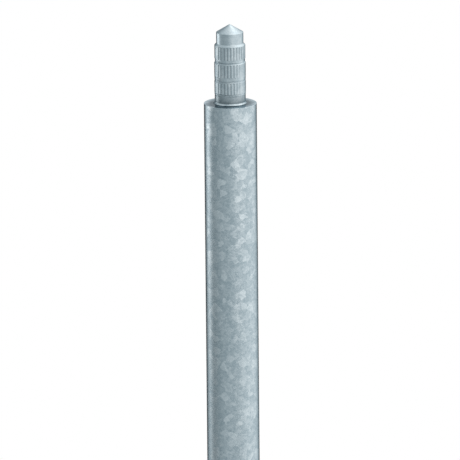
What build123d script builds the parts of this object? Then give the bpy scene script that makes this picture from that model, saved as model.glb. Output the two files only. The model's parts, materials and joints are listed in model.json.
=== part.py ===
from build123d import *
import math
import os

# All sizes are in millimetres and all angles in degrees.
# The rod stands on the plane z = 0 with its axis on the Z axis and its coupling pin on top.

# Shaft
SHAFT_DIAMETER = 20.0
SHAFT_LENGTH = 1500.0
SHOULDER_ROUND = 0.1
FOOT_ROUND = 0.5

# Root of the coupling pin, a plain neck that runs into the shoulder
ROOT_DIAMETER = 11.7
ROOT_LENGTH = 3.75
ROOT_FILLET = 0.85

# Plain collar on the root, and the groove over it that the lower band's flutes run out into
COLLAR_LENGTH = 0.25
ROOT_GROOVE_WIDTH = 0.3

# Grooves over the lower and the middle band, and the depth of all three grooves
GROOVE_WIDTH = 0.35
GROOVE_DEPTH = 0.16

# Knurled bands and the plain lands between them, from the collar up
GRIP_DIAMETER = 11.9
LEAD_IN = 0.25
LEAD_IN_DROP = 0.15
LOWER_BAND_LENGTH = 4.7
LOWER_LAND_DIAMETER = 11.8
LOWER_LAND_LENGTH = 0.95
MIDDLE_RUN_OUT = 0.5
MIDDLE_BAND_LENGTH = 5.75
UPPER_LAND_DIAMETER = 11.4
UPPER_LAND_LENGTH = 0.6
UPPER_RUN_OUT = 0.6
GUIDE_DIAMETER = 11.7
UPPER_BAND_LENGTH = 6.25
UPPER_LEAD_IN = 0.71

# Nose and its turned point
NOSE_DIAMETER = 10.28
NOSE_LENGTH = 4.15
POINT_ANGLE = 118.0

# Flutes of the straight knurling
FLUTE_COUNT = 30
FLUTE_WIDTH = 0.85
FLUTE_FLOOR_WIDTH = 0.1
FLUTE_DEPTH = 0.12
CUTTER_OVERSHOOT = 0.02

# Socket in the foot, which the pin of the next rod down is driven into
SOCKET_INTERFERENCE = 0.2
SOCKET_SPARE_DEPTH = 4.5
SOCKET_MOUTH_CLEARANCE = 0.15
DRILL_POINT_ANGLE = 118.0


# Radii and the stack of heights that follow from the sizes above
shaft_radius = SHAFT_DIAMETER / 2
root_radius = ROOT_DIAMETER / 2
grip_radius = GRIP_DIAMETER / 2
guide_radius = GUIDE_DIAMETER / 2
lower_land_radius = LOWER_LAND_DIAMETER / 2
upper_land_radius = UPPER_LAND_DIAMETER / 2
nose_radius = NOSE_DIAMETER / 2

shoulder_z = SHAFT_LENGTH
root_top = shoulder_z + ROOT_LENGTH
collar_top = root_top + COLLAR_LENGTH
lower_foot = collar_top + ROOT_GROOVE_WIDTH
lower_top = lower_foot + LOWER_BAND_LENGTH
middle_foot = lower_top + GROOVE_WIDTH + LOWER_LAND_LENGTH
middle_top = middle_foot + MIDDLE_BAND_LENGTH
upper_foot = middle_top + GROOVE_WIDTH + UPPER_LAND_LENGTH
upper_top = upper_foot + UPPER_BAND_LENGTH
nose_top = upper_top + NOSE_LENGTH
tip_z = nose_top + nose_radius / math.tan(math.radians(POINT_ANGLE / 2))

socket_radius = (GRIP_DIAMETER - SOCKET_INTERFERENCE) / 2
socket_depth = tip_z - shoulder_z + SOCKET_SPARE_DEPTH
socket_end_z = socket_depth + socket_radius / math.tan(math.radians(DRILL_POINT_ANGLE / 2))
mouth_radius = root_radius + ROOT_FILLET + SOCKET_MOUTH_CLEARANCE
mouth_depth = mouth_radius - socket_radius


def groove(radius, foot, top):
    """Corners of a groove whose floor lies under the given radius"""
    floor = radius - GROOVE_DEPTH
    return [(floor, foot), (floor, top)]


def band(foot, top):
    """Corners of a gripping band, whose top edge has a small lead-in"""
    return [(grip_radius, foot), (grip_radius, top - LEAD_IN), (grip_radius - LEAD_IN_DROP, top)]


def pin_corners():
    """Corners of the pin's outline, from the top of its root fillet to its tip"""
    corners = [(root_radius, shoulder_z + ROOT_FILLET), (root_radius, root_top)]
    corners += [(grip_radius, root_top), (grip_radius, collar_top)]
    corners += groove(grip_radius, collar_top, lower_foot)
    corners += band(lower_foot, lower_top)
    corners += groove(lower_land_radius, lower_top, lower_top + GROOVE_WIDTH)
    corners += [(lower_land_radius, lower_top + GROOVE_WIDTH), (lower_land_radius, middle_foot)]
    corners += band(middle_foot + MIDDLE_RUN_OUT, middle_top)
    corners += groove(upper_land_radius, middle_top, middle_top + GROOVE_WIDTH)
    corners += [(upper_land_radius, middle_top + GROOVE_WIDTH), (upper_land_radius, upper_foot)]
    corners += [(guide_radius, upper_foot + UPPER_RUN_OUT), (guide_radius, upper_top - UPPER_LEAD_IN)]
    corners += [(nose_radius, upper_top), (nose_radius, nose_top), (0, tip_z)]
    return corners


def socket_corners():
    """Corners of the socket's outline, from the end of its drill point to its chamfered mouth"""
    return [(0, socket_end_z), (socket_radius, socket_depth), (socket_radius, mouth_depth), (mouth_radius, 0)]


def turned_rod():
    """The whole rod as it comes off the lathe: shaft, plain pin and drilled foot"""
    with BuildPart() as rod:
        with BuildSketch(Plane.XZ):
            with BuildLine():
                Polyline(*socket_corners())
                foot_edge = (shaft_radius - FOOT_ROUND, 0)
                foot_side = (shaft_radius, FOOT_ROUND)
                shoulder_side = (shaft_radius, shoulder_z - SHOULDER_ROUND)
                shoulder_edge = (shaft_radius - SHOULDER_ROUND, shoulder_z)
                fillet_foot = (root_radius + ROOT_FILLET, shoulder_z)
                fillet_top = (root_radius, shoulder_z + ROOT_FILLET)
                Line((mouth_radius, 0), foot_edge)
                RadiusArc(foot_edge, foot_side, -FOOT_ROUND)
                Line(foot_side, shoulder_side)
                RadiusArc(shoulder_side, shoulder_edge, -SHOULDER_ROUND)
                Line(shoulder_edge, fillet_foot)
                RadiusArc(fillet_foot, fillet_top, ROOT_FILLET)
                Polyline(*pin_corners())
                Line((0, tip_z), (0, socket_end_z))
            make_face()
        revolve(axis=Axis.Z)
    return rod.part


def flute_cutters(crest_radius, foot, top):
    """One ring of cutters for shallow V grooves with sloping ends, which run from foot to top of a band"""
    drop = crest_radius - math.sqrt(crest_radius**2 - (FLUTE_WIDTH / 2) ** 2)
    run = (FLUTE_WIDTH - FLUTE_FLOOR_WIDTH) / 2 / (FLUTE_DEPTH - drop)
    reach = FLUTE_DEPTH + CUTTER_OVERSHOOT
    spread = run * reach
    outer_width = FLUTE_FLOOR_WIDTH + 2 * spread
    outer_length = top - foot + 2 * run * CUTTER_OVERSHOOT
    cutter = Wedge(
        outer_width,
        reach,
        outer_length,
        spread,
        spread,
        outer_width - spread,
        outer_length - spread,
        align=(Align.CENTER, Align.MIN, Align.CENTER),
    )
    cutter = Pos(0, -crest_radius - CUTTER_OVERSHOOT, (foot + top) / 2) * cutter
    return [Rot(0, 0, turn * 360 / FLUTE_COUNT) * cutter for turn in range(FLUTE_COUNT)]


def earth_rod():
    """The turned rod with its three bands knurled"""
    cutters = flute_cutters(grip_radius, collar_top, lower_top - LEAD_IN)
    cutters += flute_cutters(grip_radius, middle_foot + MIDDLE_RUN_OUT / 2, middle_top - LEAD_IN)
    cutters += flute_cutters(guide_radius, upper_foot + UPPER_RUN_OUT / 2, upper_top - UPPER_LEAD_IN)
    return turned_rod().cut(*cutters)


os.makedirs("parts", exist_ok=True)
export_step(earth_rod(), "parts/earth_rod.step")
print(f"overall length {tip_z:.2f} mm, pin {tip_z - shoulder_z:.2f} mm, socket {socket_depth:.2f} mm deep")
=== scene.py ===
"""The look of a galvanised earth rod: fine knurled mesh, zinc spangle, studio and camera."""

import json
import math

import bpy
from mathutils import Matrix, Vector


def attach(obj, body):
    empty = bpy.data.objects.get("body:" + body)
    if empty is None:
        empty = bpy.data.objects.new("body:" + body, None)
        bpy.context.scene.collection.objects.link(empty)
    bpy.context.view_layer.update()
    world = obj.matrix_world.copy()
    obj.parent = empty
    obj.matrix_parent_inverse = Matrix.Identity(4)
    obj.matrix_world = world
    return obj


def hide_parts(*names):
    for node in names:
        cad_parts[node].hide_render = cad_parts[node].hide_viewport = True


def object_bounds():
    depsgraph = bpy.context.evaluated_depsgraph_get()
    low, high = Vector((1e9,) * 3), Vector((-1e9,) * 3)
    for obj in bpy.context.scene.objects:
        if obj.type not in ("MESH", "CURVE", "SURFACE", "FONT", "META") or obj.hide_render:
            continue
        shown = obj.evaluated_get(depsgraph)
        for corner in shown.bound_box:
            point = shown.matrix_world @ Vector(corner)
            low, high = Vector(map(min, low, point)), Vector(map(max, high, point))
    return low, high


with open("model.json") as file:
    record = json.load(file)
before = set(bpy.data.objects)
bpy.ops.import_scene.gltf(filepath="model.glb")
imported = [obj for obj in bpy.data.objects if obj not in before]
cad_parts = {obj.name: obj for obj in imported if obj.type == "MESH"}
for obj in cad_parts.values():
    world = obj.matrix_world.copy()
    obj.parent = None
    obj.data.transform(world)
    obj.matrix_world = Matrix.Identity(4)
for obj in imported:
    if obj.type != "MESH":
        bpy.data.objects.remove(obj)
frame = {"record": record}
cad_low, cad_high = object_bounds()

# Sizes are written in millimetres and angles in degrees, and the mesh is in metres
MM = 0.001

# Shaft: its radius and the height of the shoulder, both from the frame
shaft_radius = cad_high.x / MM
mount_heights = {mount["name"]: mount["pos_m"][2] for mount in frame["record"]["mounts"]}
shoulder_z = mount_heights["shoulder"] / MM
# The rounds of its ends, and how many of them there are from an end to the next row of the mesh
SHOULDER_ROUND = 0.1
FOOT_ROUND = 0.5
END_ROUNDS = 3

# Pin: radii, and heights above the shoulder
ROOT_RADIUS = 5.85
ROOT_FILLET = 0.85
ROOT_TOP = 3.75
COLLAR_TOP = 4.0
ROOT_GROOVE_WIDTH = 0.3
GROOVE_WIDTH = 0.35
GROOVE_DEPTH = 0.16
GRIP_RADIUS = 5.95
LEAD_IN = 0.25
LEAD_IN_DROP = 0.15
LOWER_TOP = 9.0
LOWER_LAND_RADIUS = 5.9
MIDDLE_FOOT = 10.3
MIDDLE_RUN_OUT = 0.5
MIDDLE_TOP = 16.05
UPPER_LAND_RADIUS = 5.7
UPPER_FOOT = 17.0
UPPER_RUN_OUT = 0.6
GUIDE_RADIUS = 5.85
UPPER_TOP = 23.25
UPPER_LEAD_IN = 0.71
NOSE_RADIUS = 5.14
NOSE_TOP = 27.4
POINT_HALF_ANGLE = 59
PIN_LENGTH = NOSE_TOP + NOSE_RADIUS / math.tan(math.radians(POINT_HALF_ANGLE))

# Edges softened by the zinc, and how much lower than the sharp point it leaves the tip
ZINC_ROUND = 0.07
NOSE_ROUND = 0.12
TIP_DROP = 0.0525

# Flutes of the knurling
FLUTE_COUNT = 30
FLUTE_WIDTH = 0.85
FLUTE_FLOOR = 0.1
FLUTE_DEPTH = 0.12
# Where zinc has run into the flutes: azimuth, spread, and the share of the depth that is filled
ZINC_RUNS = ((-70, 9, 0.95), (56, 18, 0.75))
# How many of these runs, from the first, reach the upper band
UPPER_RUNS = 1

# Socket in the foot
SOCKET_RADIUS = 5.85
SOCKET_SPARE_DEPTH = 4.5
SOCKET_DEPTH = PIN_LENGTH + SOCKET_SPARE_DEPTH
SOCKET_POINT = SOCKET_RADIUS / math.tan(math.radians(POINT_HALF_ANGLE))
MOUTH_CLEARANCE = 0.15
MOUTH_RADIUS = ROOT_RADIUS + ROOT_FILLET + MOUTH_CLEARANCE

# Painted shade in the flutes, grooves, lead-in and corners, as the share of the zinc's brightness that it
# takes off
FLUTE_PAINTED_SHADE = 0.37
LOWER_GROOVE_PAINTED_SHADE = 0.2
MIDDLE_GROOVE_PAINTED_SHADE = 0.36
ROOT_GROOVE_PAINTED_SHADE = 0.45
LEAD_IN_PAINTED_SHADE = 0.3
# On the root it fades upwards, over this height
ROOT_PAINTED_SHADE = 0.58
ROOT_PAINTED_SHADE_REACH = 3.0
# Round the pin's foot this painted shade covers the start of the fillet and the shoulder face up to its rim,
# and fades outwards so that it would be gone at the shade's end radius
FACE_PAINTED_SHADE = 0.9
FILLET_PAINTED_SHADE_TOP = 0.12
FACE_SHADE_END_RADIUS = 10.6
FACE_FADE = 3.6
FACE_RIM_RADIUS = 9.8
# Where this ring is wider, as a painted shadow of the pin on the face: azimuth, spread in degrees, and how
# much wider
FACE_PAINTED_SHADOW_SIDE = (-32, 30, 2.1)

# Rows of the mesh: distances from both ends of the flutes, rows between them, heights on the root,
# radii on the shoulder face, shares of the way up the point, and rows on the shaft
END_STEPS = (0.06, 0.12, 0.18, 0.24, 0.3, 0.4, 0.6, 0.9)
MIDDLE_ROWS = 4
ROOT_ROWS = (1.2, 1.7, 2.3, 3.0)
FACE_ROWS = (9.75, 9.5, 9.2, 8.7, 8.2, 7.7, 7.2)
POINT_ROWS = (0.5, 0.75, 0.9, 0.97)
SHAFT_ROWS = 24
# A row is added only where it is this far from the rows of the outline
ROW_GAP = 0.02
# Steps of the arcs, more for a large radius, and the share of a side that an arc may take up
ARC_STEPS = 4
LARGE_ARC = 0.4
LARGE_ARC_STEPS = 9
ARC_SHARE = 0.45
# Columns of the mesh to each flute, in millimetres from its middle: the last is on the ridge beside it
COLUMN_OFFSETS = (-0.5, -0.425, -0.33, -0.2, -0.05, 0.05, 0.2, 0.33, 0.425, 0.5, 0.623)

# Camera: the shoulder's place and scale in the photograph, and the lean of the rod's axis there
IMAGE_SIDE = 460
SHOULDER_PIXEL = (230.3, 102.8)
PIXELS_PER_MM = 2.645
AXIS_LEAN = 0.0089
CAMERA_AZIMUTH = -1.8
CAMERA_ELEVATION = 12.8
CAMERA_DISTANCE = 3.0
SENSOR = 36.0
CLIP_START = 0.1
CLIP_END = 300.0


# Outline

def arc_corner(before, corner, after, radius):
    """Points of an arc of the given radius, or less where the sides are short, in place of a corner"""
    corner = Vector(corner)
    into = Vector(before) - corner
    out = Vector(after) - corner
    half_angle = into.angle(out) / 2
    reach = min(radius / math.tan(half_angle), into.length * ARC_SHARE, out.length * ARC_SHARE)
    radius = reach * math.tan(half_angle)
    inwards = (into.normalized() + out.normalized()).normalized()
    along = (out.normalized() - into.normalized()).normalized()
    centre = corner + inwards * radius / math.sin(half_angle)
    steps = LARGE_ARC_STEPS if radius > LARGE_ARC else ARC_STEPS
    points = []
    for step in range(steps + 1):
        turn = (step / steps * 2 - 1) * (math.pi / 2 - half_angle)
        points.append(tuple(centre - inwards * radius * math.cos(turn) + along * radius * math.sin(turn)))
    return points


def rounded(corners):
    """An outline with each corner (radius, height, round) turned into an arc"""
    points = [tuple(corners[0][:2])]
    for before, corner, after in zip(corners, corners[1:], corners[2:]):
        if corner[2] > 0:
            points += arc_corner(before[:2], corner[:2], after[:2], corner[2])
        else:
            points.append(tuple(corner[:2]))
    points.append(tuple(corners[-1][:2]))
    return points


def pin_corners():
    """Corners of the pin above the shoulder, each with its rounding"""
    lower_foot = COLLAR_TOP + ROOT_GROOVE_WIDTH
    root_groove = GRIP_RADIUS - GROOVE_DEPTH
    lower_groove = LOWER_LAND_RADIUS - GROOVE_DEPTH
    upper_groove = UPPER_LAND_RADIUS - GROOVE_DEPTH
    return [
        (shaft_radius, -SHOULDER_ROUND * END_ROUNDS, 0),
        (shaft_radius, 0, SHOULDER_ROUND),
        (ROOT_RADIUS, 0, ROOT_FILLET),
        (ROOT_RADIUS, ROOT_TOP, ZINC_ROUND),
        (GRIP_RADIUS, ROOT_TOP, ZINC_ROUND),
        (GRIP_RADIUS, COLLAR_TOP, ZINC_ROUND),
        (root_groove, COLLAR_TOP, ZINC_ROUND),
        (root_groove, lower_foot, ZINC_ROUND),
        (GRIP_RADIUS, lower_foot, ZINC_ROUND),
        (GRIP_RADIUS, LOWER_TOP - LEAD_IN, ZINC_ROUND),
        (GRIP_RADIUS - LEAD_IN_DROP, LOWER_TOP, ZINC_ROUND),
        (lower_groove, LOWER_TOP, ZINC_ROUND),
        (lower_groove, LOWER_TOP + GROOVE_WIDTH, ZINC_ROUND),
        (LOWER_LAND_RADIUS, LOWER_TOP + GROOVE_WIDTH, ZINC_ROUND),
        (LOWER_LAND_RADIUS, MIDDLE_FOOT, ZINC_ROUND),
        (GRIP_RADIUS, MIDDLE_FOOT + MIDDLE_RUN_OUT, ZINC_ROUND),
        (GRIP_RADIUS, MIDDLE_TOP - LEAD_IN, ZINC_ROUND),
        (GRIP_RADIUS - LEAD_IN_DROP, MIDDLE_TOP, ZINC_ROUND),
        (upper_groove, MIDDLE_TOP, ZINC_ROUND),
        (upper_groove, MIDDLE_TOP + GROOVE_WIDTH, ZINC_ROUND),
        (UPPER_LAND_RADIUS, MIDDLE_TOP + GROOVE_WIDTH, ZINC_ROUND),
        (UPPER_LAND_RADIUS, UPPER_FOOT, ZINC_ROUND),
        (GUIDE_RADIUS, UPPER_FOOT + UPPER_RUN_OUT, ZINC_ROUND),
        (GUIDE_RADIUS, UPPER_TOP - UPPER_LEAD_IN, ZINC_ROUND),
        (NOSE_RADIUS, UPPER_TOP, ZINC_ROUND),
        (NOSE_RADIUS, NOSE_TOP, NOSE_ROUND),
        (0, PIN_LENGTH, 0),
    ]


def foot_corners():
    """Corners of the socket and the foot face, from the drill point to the shaft"""
    return [
        (0, SOCKET_DEPTH + SOCKET_POINT, 0),
        (SOCKET_RADIUS, SOCKET_DEPTH, ZINC_ROUND),
        (SOCKET_RADIUS, MOUTH_RADIUS - SOCKET_RADIUS, ZINC_ROUND),
        (MOUTH_RADIUS, 0, ZINC_ROUND),
        (shaft_radius, 0, FOOT_ROUND),
        (shaft_radius, FOOT_ROUND * END_ROUNDS, 0),
    ]


def flute_bands():
    """Crest radius, foot and top of each band's flutes, above the shoulder"""
    return [
        (GRIP_RADIUS, COLLAR_TOP, LOWER_TOP - LEAD_IN),
        (GRIP_RADIUS, MIDDLE_FOOT + MIDDLE_RUN_OUT / 2, MIDDLE_TOP - LEAD_IN),
        (GUIDE_RADIUS, UPPER_FOOT + UPPER_RUN_OUT / 2, UPPER_TOP - UPPER_LEAD_IN),
    ]


def split_band(low, high):
    """Heights of the extra rows on a stretch of flutes, close together near its ends"""
    inner_low = low + END_STEPS[-1]
    inner_high = high - END_STEPS[-1]
    rows = [low + step for step in END_STEPS]
    rows += [inner_low + (inner_high - inner_low) * n / (MIDDLE_ROWS + 1) for n in range(1, MIDDLE_ROWS + 1)]
    rows += [high - step for step in reversed(END_STEPS)]
    return rows


def with_rows(points, heights):
    """The outline with points added on it at the given heights, where it climbs"""
    filled = [points[0]]
    for start, end in zip(points, points[1:]):
        for height in heights:
            if start[1] + ROW_GAP < height < end[1] - ROW_GAP:
                share = (height - start[1]) / (end[1] - start[1])
                filled.append((start[0] + (end[0] - start[0]) * share, height))
        filled.append(end)
    return filled


def pin_outline():
    """Radius and height above the shoulder of every row of the pin, from the shaft's end to the tip"""
    heights = list(ROOT_ROWS)
    for crest, low, high in flute_bands():
        heights += split_band(low, high)
    pin = with_rows(rounded(pin_corners()), heights)
    face_end = next(index for index, point in enumerate(pin) if point[0] < FACE_ROWS[-1])
    pin[face_end:face_end] = [(radius, 0) for radius in FACE_ROWS]
    point_start = Vector(pin[-2])
    sharp_tip = Vector((0, PIN_LENGTH))
    point = [tuple(point_start.lerp(sharp_tip, share)) for share in POINT_ROWS]
    return pin[:-1] + point + [(0, PIN_LENGTH - TIP_DROP)]


def rod_outline():
    """Radius and height of every row of the mesh, from the socket's drill point to the tip"""
    foot = rounded(foot_corners())
    pin = pin_outline()
    low = foot[-1][1]
    high = shoulder_z + pin[0][1]
    shaft = [(shaft_radius, low + (high - low) * n / SHAFT_ROWS) for n in range(1, SHAFT_ROWS)]
    return foot + shaft + [(radius, shoulder_z + height) for radius, height in pin]


# Mesh

def column_angles():
    """Angles of the mesh's columns, counted from -Y: a few to each flute, closer at its edges"""
    pitch = math.tau / FLUTE_COUNT
    return [flute * pitch + offset / GRIP_RADIUS for flute in range(FLUTE_COUNT) for offset in COLUMN_OFFSETS]


def bell(angle, azimuth, spread):
    """1 where an angle in radians lies at an azimuth in degrees, and less the further it is from there"""
    away = (math.degrees(angle) - azimuth + 180) % 360 - 180
    return math.exp(-(away / spread) ** 2 / 2)


def open_share(height, angle):
    """The share of a flute's depth that the zinc has left open here"""
    share = 1.0
    runs = ZINC_RUNS[:UPPER_RUNS] if height > UPPER_FOOT else ZINC_RUNS
    for azimuth, spread, filled in runs:
        share *= 1 - filled * bell(angle, azimuth, spread)
    return share


def flute_depth(radius, height, angle):
    """How far a flute cuts in under the turned surface at this place"""
    pitch = math.tau / FLUTE_COUNT
    aside = abs((angle + pitch / 2) % pitch - pitch / 2) * radius
    half = FLUTE_WIDTH / 2
    for crest, low, high in flute_bands():
        beyond = max(low + half - height, height - high + half, 0.0)
        away = math.hypot(aside, beyond)
        wall = max(away - FLUTE_FLOOR / 2, 0.0) * FLUTE_DEPTH / ((FLUTE_WIDTH - FLUTE_FLOOR) / 2)
        depth = radius - (crest - FLUTE_DEPTH + wall)
        if low - FLUTE_WIDTH < height < high + FLUTE_WIDTH and depth > 0:
            return depth * open_share(height, angle)
    return 0.0


def face_painted_shade(radius, angle):
    """How much painted shade a place on the shoulder face gets: most at the pin, widest where the pin's
    painted shadow falls, none on the rim
    """
    if radius > FACE_RIM_RADIUS:
        return 0.0
    azimuth, spread, wider = FACE_PAINTED_SHADOW_SIDE
    shade_end_radius = FACE_SHADE_END_RADIUS + wider * bell(angle, azimuth, spread)
    return FACE_PAINTED_SHADE * max(0.0, min(1.0, (shade_end_radius - radius) / FACE_FADE))


def turned_painted_shade(radius, height, angle):
    """How much painted shade a place on the turned surface gets, for its height above the shoulder"""
    if abs(height) < FILLET_PAINTED_SHADE_TOP and radius > ROOT_RADIUS:
        return face_painted_shade(radius, angle)
    if ROOT_FILLET <= height <= ROOT_TOP:
        return ROOT_PAINTED_SHADE * math.exp((ROOT_FILLET - height) / ROOT_PAINTED_SHADE_REACH)
    if COLLAR_TOP < height < COLLAR_TOP + ROOT_GROOVE_WIDTH:
        return ROOT_GROOVE_PAINTED_SHADE
    for foot, painted_shade in ((LOWER_TOP, LOWER_GROOVE_PAINTED_SHADE), (MIDDLE_TOP, MIDDLE_GROOVE_PAINTED_SHADE)):
        if foot < height < foot + GROOVE_WIDTH:
            return painted_shade
    if LOWER_TOP - LEAD_IN <= height <= LOWER_TOP:
        return LEAD_IN_PAINTED_SHADE
    return 0.0


def rod_points(outline, angles):
    """Points of the mesh, row by row between its two end points, and the painted shade at each"""
    points = [(0, 0, outline[0][1] * MM)]
    painted_shade = [0.0]
    for radius, height in outline[1:-1]:
        above = height - shoulder_z
        for angle in angles:
            depth = flute_depth(radius, above, angle)
            r = (radius - depth) * MM
            points.append((r * math.sin(angle), -r * math.cos(angle), height * MM))
            # Painted shade: less where zinc has filled a flute, and in the flutes it grows with their depth
            clear = open_share(above, angle) if above > ROOT_TOP else 1.0
            turned = turned_painted_shade(radius, above, angle) * clear
            painted_shade.append(max(turned, FLUTE_PAINTED_SHADE * depth / FLUTE_DEPTH))
    points.append((0, 0, outline[-1][1] * MM))
    painted_shade.append(0.0)
    return points, painted_shade


def rod_faces(rings, count):
    """Faces between the rows, and fans to the first and the last point"""
    faces = [(0, 1 + (n + 1) % count, 1 + n) for n in range(count)]
    for ring in range(rings - 1):
        base = 1 + ring * count
        for n in range(count):
            m = (n + 1) % count
            faces.append((base + n, base + m, base + count + m, base + count + n))
    base = 1 + (rings - 1) * count
    last = 1 + rings * count
    faces += [(last, base + n, base + (n + 1) % count) for n in range(count)]
    return faces


def placed(name, data):
    """A new object with this data, in the scene"""
    thing = bpy.data.objects.new(name, data)
    bpy.context.scene.collection.objects.link(thing)
    return thing


def keep_values(mesh, name, values):
    """Keep one number for each point on the mesh, for its material to read"""
    attribute = mesh.attributes.new(name, "FLOAT", "POINT")
    attribute.data.foreach_set("value", values)


def build_rod():
    """The whole rod as one closed mesh, with the painted shade kept at each of its points"""
    outline = rod_outline()
    angles = column_angles()
    points, painted_shade = rod_points(outline, angles)
    mesh = bpy.data.meshes.new("galvanised_rod")
    mesh.from_pydata(points, [], rod_faces(len(outline) - 2, len(angles)))
    mesh.update()
    mesh.polygons.foreach_set("use_smooth", [True] * len(mesh.polygons))
    keep_values(mesh, "painted_shade", painted_shade)
    rod = placed("galvanised_rod", mesh)
    weighted = rod.modifiers.new("weighted_normals", "WEIGHTED_NORMAL")
    weighted.keep_sharp = True
    weighted.weight = 100
    return rod


# Materials

# Zinc crystals: how many flakes, waves of their edges and grains there are to the metre,
# how far the edges wander in metres, and the look of the noise behind waves and grains
FLAKE_SCALE = 400.0
FINE_FLAKE_SCALE = 1200.0
WARP_SCALE = 700.0
GRAIN_SCALE = 2600.0
WARP_REACH = 0.0013
NOISE_DETAIL = 3.0
NOISE_ROUGHNESS = 0.6
# Their tone: few large flakes are light, the fine ones are even, and the contrast is lower on the pin
FLAKE_POWER = 2.5
FLAKE_SHARE = 0.58
FINE_FLAKE_SHARE = 0.4
MEAN_TONE = 0.39
SHAFT_CONTRAST = 1.15
PIN_CONTRAST = 0.55
# Colours for the darkest and the lightest tone and for the painted shade, and the tint at glancing angles
ZINC_DARK = (0.435, 0.555, 0.61, 1)
ZINC_LIGHT = (0.765, 0.885, 0.93, 1)
PAINTED_SHADE_COLOUR = (0.0, 0.02, 0.03, 1)
EDGE_TINT = (0.86, 0.95, 1.0, 1)
METALLIC = 0.92
ROUGHNESS_DARK = 0.28
ROUGHNESS_LIGHT = 0.2
# Relief of the crystals: shares of their tone and grain, and the strength and height in metres of the bump
RELIEF_TONE = 0.7
RELIEF_GRAIN = 0.5
BUMP_STRENGTH = 0.12
BUMP_HEIGHT = 0.00006


class Nodes:
    """A small helper that adds nodes to a tree and links them"""

    def __init__(self, tree):
        self.tree = tree
        tree.nodes.clear()

    def add(self, kind, **inputs):
        node = self.tree.nodes.new(kind)
        for name, value in inputs.items():
            self.feed(node, name.replace("_", " "), value)
        return node

    def feed(self, node, name, value):
        socket = node.inputs[name]
        if isinstance(value, bpy.types.NodeSocket):
            self.tree.links.new(value, socket)
        else:
            socket.default_value = value

    def math(self, operation, a, b=0.0, clamp=False):
        node = self.tree.nodes.new("ShaderNodeMath")
        node.operation = operation
        node.use_clamp = clamp
        self.feed(node, 0, a)
        self.feed(node, 1, b)
        return node.outputs[0]

    def mix(self, factor, a, b):
        node = self.tree.nodes.new("ShaderNodeMix")
        node.data_type = "RGBA"
        self.feed(node, 0, factor)
        self.feed(node, 6, a)
        self.feed(node, 7, b)
        return node.outputs[2]

    def mapped(self, value, low, high, to_low, to_high):
        node = self.tree.nodes.new("ShaderNodeMapRange")
        self.feed(node, 0, value)
        for index, number in enumerate((low, high, to_low, to_high), start=1):
            node.inputs[index].default_value = number
        return node.outputs[0]

    def noise(self, place, scale):
        return self.add(
            "ShaderNodeTexNoise",
            Vector=place,
            Scale=scale,
            Detail=NOISE_DETAIL,
            Roughness=NOISE_ROUGHNESS,
        )

    def cell_tones(self, place, scale):
        cells = self.add("ShaderNodeTexVoronoi", Vector=place, Scale=scale)
        return self.add("ShaderNodeSeparateColor", Color=cells.outputs["Color"]).outputs[0]

    def kept_value(self, name):
        node = self.tree.nodes.new("ShaderNodeAttribute")
        node.attribute_name = name
        return node.outputs["Fac"]

    def finish(self, shader, kind="ShaderNodeOutputMaterial"):
        self.add(kind, Surface=shader.outputs[0])


def new_material(name):
    """A new material and the helper for its nodes"""
    material = bpy.data.materials.new(name)
    material.use_nodes = True
    return material, Nodes(material.node_tree)


def galvanised_steel():
    """Hot-dip zinc: crystals of slightly different grey, with shade painted in where the mesh says so"""
    material, nodes = new_material("galvanised_steel")
    place = nodes.add("ShaderNodeTexCoord").outputs["Object"]

    warp = nodes.noise(place, WARP_SCALE)
    shift = nodes.tree.nodes.new("ShaderNodeVectorMath")
    shift.operation = "MULTIPLY_ADD"
    nodes.feed(shift, 0, warp.outputs["Color"])
    nodes.feed(shift, 1, (WARP_REACH, WARP_REACH, WARP_REACH))
    nodes.feed(shift, 2, place)
    warped = shift.outputs[0]

    flakes = nodes.math("POWER", nodes.cell_tones(warped, FLAKE_SCALE), FLAKE_POWER)
    flakes = nodes.math("MULTIPLY", flakes, FLAKE_SHARE)
    fine_flakes = nodes.math("MULTIPLY", nodes.cell_tones(warped, FINE_FLAKE_SCALE), FINE_FLAKE_SHARE)
    grain = nodes.math("SUBTRACT", nodes.noise(place, GRAIN_SCALE).outputs[0], 0.5)
    tone = nodes.math("ADD", nodes.math("ADD", flakes, fine_flakes), grain)

    height = nodes.add("ShaderNodeSeparateXYZ", Vector=place).outputs["Z"]
    on_pin = nodes.math("GREATER_THAN", height, (shoulder_z + ROOT_FILLET / 2) * MM)
    contrast = nodes.mapped(on_pin, 0.0, 1.0, SHAFT_CONTRAST, PIN_CONTRAST)
    tone = nodes.math("MULTIPLY", nodes.math("SUBTRACT", tone, MEAN_TONE), contrast)
    tone = nodes.math("ADD", tone, MEAN_TONE)

    colour = nodes.mix(tone, ZINC_DARK, ZINC_LIGHT)
    # Painted shade: the zinc is darkened towards near-black in the flutes, grooves and the corner round the
    # pin's foot
    colour = nodes.mix(nodes.kept_value("painted_shade"), colour, PAINTED_SHADE_COLOUR)

    relief = nodes.math("MULTIPLY", tone, RELIEF_TONE)
    relief = nodes.math("ADD", relief, nodes.math("MULTIPLY", grain, RELIEF_GRAIN))
    bump = nodes.add("ShaderNodeBump", Strength=BUMP_STRENGTH, Distance=BUMP_HEIGHT, Height=relief)

    shader = nodes.add(
        "ShaderNodeBsdfPrincipled",
        Base_Color=colour,
        Metallic=METALLIC,
        Specular_Tint=EDGE_TINT,
        Roughness=nodes.mapped(tone, 0.0, 1.0, ROUGHNESS_DARK, ROUGHNESS_LIGHT),
        Normal=bump.outputs[0],
    )
    nodes.finish(shader)
    return material


# Studio

# Square floor, in metres: it turns from its own colour to plain white between the two distances
FLOOR_HALF_SIDE = 90.0
FLOOR_NEAR = 1.4
FLOOR_FAR = 3.5
FLOOR_COLOUR = (0.86, 0.87, 0.88, 1)
WHITE = (1, 1, 1, 1)
# Level of the surround where it lights things, and where it is seen
SOFT_LEVEL = 0.7
WHITE_LEVEL = 1.0

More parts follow.
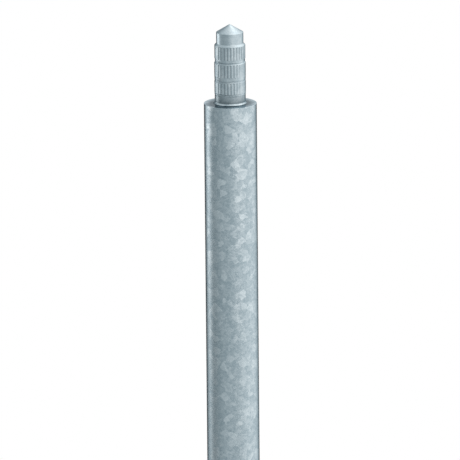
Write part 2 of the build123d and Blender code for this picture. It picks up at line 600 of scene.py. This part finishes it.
# Light tent that only the metal's reflections see, centred on the shoulder: its radius and its gap
# over the floor in metres, and the step between its points and its lowest and highest row in degrees
TENT_RADIUS = 3.5
TENT_CLEARANCE = 0.005
TENT_STEP = 2
TENT_LOWEST = -88
TENT_HIGHEST = 90
# Its level between the patches, and its tint, which is cool at a low level and warm at a high one
TENT_GREY = 0.42
TENT_COOL = (0.93, 1.0, 1.035, 1)
TENT_WARM = (1.06, 1.0, 0.985, 1)
COOL_LEVEL = 0.3
WARM_LEVEL = 1.0
# A patch adds nothing where the cosine of the angle from its middle is lower than this
PATCH_LIMIT = -0.5

# Soft patches on the tent: azimuth from the camera's side and elevation of the middle in degrees,
# spread sideways and upwards in degrees, and how much they add to the tent's grey
TENT_PATCHES = (
    (72, -10, 46, 36, 0.40),
    (118, -16, 22, 12, 0.14),
    (138, 48, 36, 28, 0.90),
    (20, 85, 40, 34, 0.24),
    (22, 34, 22, 9, 1.25),
    (-116, -9, 13, 4, 1.55),
    (-92, -22, 20, 5, -0.58),
    (-38, -12, 18, 6, 0.03),
    (-122, -33, 26, 6, 1.00),
    (31, -24, 22, 6, -0.50),
    (8, 13, 42, 8, -0.45),
    (-172, -13, 22, 11, -0.66),
    (172, -12, 24, 10, -0.52),
    (-160, 26, 16, 18, -0.46),
    (180, 13, 13, 6, 0.46),
    (26, -10, 26, 8, 0.34),
    (150, 20, 14, 14, -0.16),
    (140, 62, 14, 10, 0.20),
    (-150, 68, 16, 10, -0.08),
    (152, 44, 18, 15, -0.18),
    (-112, 26, 14, 10, 0.12),
)


def towards(azimuth, elevation):
    """Unit vector for an azimuth, from -Y and positive towards +X, and an elevation in degrees"""
    a = math.radians(azimuth)
    e = math.radians(elevation)
    return Vector((math.sin(a) * math.cos(e), -math.cos(a) * math.cos(e), math.sin(e)))


def tent_level(direction):
    """Brightness of the tent in a direction from its middle"""
    level = TENT_GREY
    for azimuth, elevation, sideways, upwards, gain in TENT_PATCHES:
        middle = towards(azimuth + CAMERA_AZIMUTH, elevation)
        right = towards(azimuth + CAMERA_AZIMUTH + 90, 0)
        up = right.cross(middle) * -1
        across = math.degrees(math.atan2(direction.dot(right), direction.dot(middle)))
        rise = math.degrees(math.asin(max(-1.0, min(1.0, direction.dot(up)))))
        if direction.dot(middle) > PATCH_LIMIT:
            level += gain * math.exp(-((across / sideways) ** 2 + (rise / upwards) ** 2) / 2)
    return max(level, 0.0)


def tent_faces(rows, columns):
    """Faces between the tent's rows, and one over its top row"""
    faces = []
    for row in range(rows):
        low = row * columns
        high = low + columns
        for column in range(columns):
            beside = (column + 1) % columns
            faces.append((low + column, low + beside, high + beside, high + column))
    faces.append(tuple(range(rows * columns, (rows + 1) * columns)))
    return faces


def light_tent():
    """A round tent of soft greys and whites, down to just over the floor"""
    head = Vector((0, 0, shoulder_z * MM))
    points = []
    levels = []
    rows = 180 // TENT_STEP
    columns = 360 // TENT_STEP
    for row in range(rows + 1):
        elevation = TENT_LOWEST + row * ((TENT_HIGHEST - TENT_LOWEST) / rows)
        for column in range(columns):
            direction = towards(column * TENT_STEP, elevation)
            reach = TENT_RADIUS
            if direction.z < 0:
                reach = min(reach, (head.z - TENT_CLEARANCE) / -direction.z)
            points.append(head + direction * reach)
            levels.append(tent_level(direction))
    mesh = bpy.data.meshes.new("light_tent")
    mesh.from_pydata(points, [], tent_faces(rows, columns))
    keep_values(mesh, "level", levels)
    tent = placed("light_tent", mesh)
    material, nodes = new_material("light_tent")
    level = nodes.kept_value("level")
    tint = nodes.mix(nodes.mapped(level, COOL_LEVEL, WARM_LEVEL, 0.0, 1.0), TENT_COOL, TENT_WARM)
    nodes.finish(nodes.add("ShaderNodeEmission", Color=tint, Strength=level))
    mesh.materials.append(material)
    tent.visible_camera = False
    tent.visible_diffuse = False
    tent.visible_shadow = False


def seen_directly(nodes):
    """1 for rays from the camera, off metal or through glass, and 0 for the light that falls on things"""
    path = nodes.tree.nodes.new("ShaderNodeLightPath")
    seen = nodes.math("ADD", path.outputs["Is Camera Ray"], path.outputs["Is Glossy Ray"])
    return nodes.math("ADD", seen, path.outputs["Is Transmission Ray"], clamp=True)


def pale_floor():
    """A floor under the foot, pale with soft shadows near the rod and plain white far off"""
    mesh = bpy.data.meshes.new("floor")
    side = FLOOR_HALF_SIDE
    corners = [(-side, -side, 0), (side, -side, 0), (side, side, 0), (-side, side, 0)]
    mesh.from_pydata(corners, [], [(0, 1, 2, 3)])
    floor = placed("floor", mesh)
    material, nodes = new_material("floor")
    place = nodes.add("ShaderNodeTexCoord").outputs["Object"]
    length = nodes.tree.nodes.new("ShaderNodeVectorMath")
    length.operation = "LENGTH"
    nodes.feed(length, 0, place)
    far = nodes.mapped(length.outputs["Value"], FLOOR_NEAR, FLOOR_FAR, 0.0, 1.0)
    far = nodes.math("MULTIPLY", far, seen_directly(nodes))
    matt = nodes.add("ShaderNodeBsdfDiffuse", Color=FLOOR_COLOUR)
    white = nodes.add("ShaderNodeEmission", Color=WHITE, Strength=WHITE_LEVEL)
    blend = nodes.tree.nodes.new("ShaderNodeMixShader")
    nodes.feed(blend, 0, far)
    nodes.feed(blend, 1, matt.outputs[0])
    nodes.feed(blend, 2, white.outputs[0])
    nodes.finish(blend)
    mesh.materials.append(material)


def studio_world():
    """A white surround where it is seen, and a plain soft level where it lights things"""
    world = bpy.data.worlds.new("studio")
    bpy.context.scene.world = world
    world.use_nodes = True
    nodes = Nodes(world.node_tree)
    strength = nodes.mapped(seen_directly(nodes), 0.0, 1.0, SOFT_LEVEL, WHITE_LEVEL)
    background = nodes.add("ShaderNodeBackground", Color=WHITE, Strength=strength)
    nodes.finish(background, "ShaderNodeOutputWorld")


def soft_lamp(name, azimuth, elevation, distance, size, watts):
    """A large square lamp that looks at the middle of the rod"""
    light = bpy.data.lights.new(name, "AREA")
    light.size = size
    light.energy = watts
    lamp = placed(name, light)
    back = towards(azimuth + CAMERA_AZIMUTH, elevation)
    lamp.location = Vector((0, 0, cad_high.z / 2)) + back * distance
    lamp.rotation_mode = "QUATERNION"
    lamp.rotation_quaternion = (-back).to_track_quat("-Z", "Y")
    lamp.visible_camera = False
    lamp.visible_glossy = False


# Camera

def photo_camera():
    """The photograph's view: the shoulder at its pixel and scale, and the axis leaning as it does there"""
    camera_data = bpy.data.cameras.new("photo_camera")
    camera = placed("photo_camera", camera_data)
    focal_pixels = PIXELS_PER_MM * CAMERA_DISTANCE / MM
    camera_data.sensor_width = SENSOR
    camera_data.lens = focal_pixels * SENSOR / IMAGE_SIDE
    camera_data.clip_start = CLIP_START
    camera_data.clip_end = CLIP_END
    back = towards(CAMERA_AZIMUTH, CAMERA_ELEVATION)
    shoulder = Vector((0, 0, shoulder_z * MM))
    to_shoulder = -back
    right = to_shoulder.cross(Vector((0, 0, 1))).normalized()
    up = right.cross(to_shoulder)
    facing = Matrix((right, up, back)).transposed()
    roll = Matrix.Rotation(-math.atan(AXIS_LEAN), 3, "Z")
    half = IMAGE_SIDE / 2
    shoulder_ray = Vector((SHOULDER_PIXEL[0] - half, half - SHOULDER_PIXEL[1], -focal_pixels)).normalized()
    turn = shoulder_ray.rotation_difference(Vector((0, 0, -1))).to_matrix()
    camera.location = shoulder + back * CAMERA_DISTANCE
    camera.rotation_mode = "QUATERNION"
    camera.rotation_quaternion = (facing @ roll @ turn).to_quaternion()
    bpy.context.scene.camera = camera


# The piece, its stage and the camera

rod = build_rod()
rod.data.materials.append(galvanised_steel())
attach(rod, "root")
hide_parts("earth_rod")

pale_floor()
light_tent()
studio_world()
soft_lamp("key_lamp", azimuth=55, elevation=35, distance=3.2, size=2.0, watts=25)
photo_camera()

bpy.context.scene.view_settings.view_transform = "Standard"
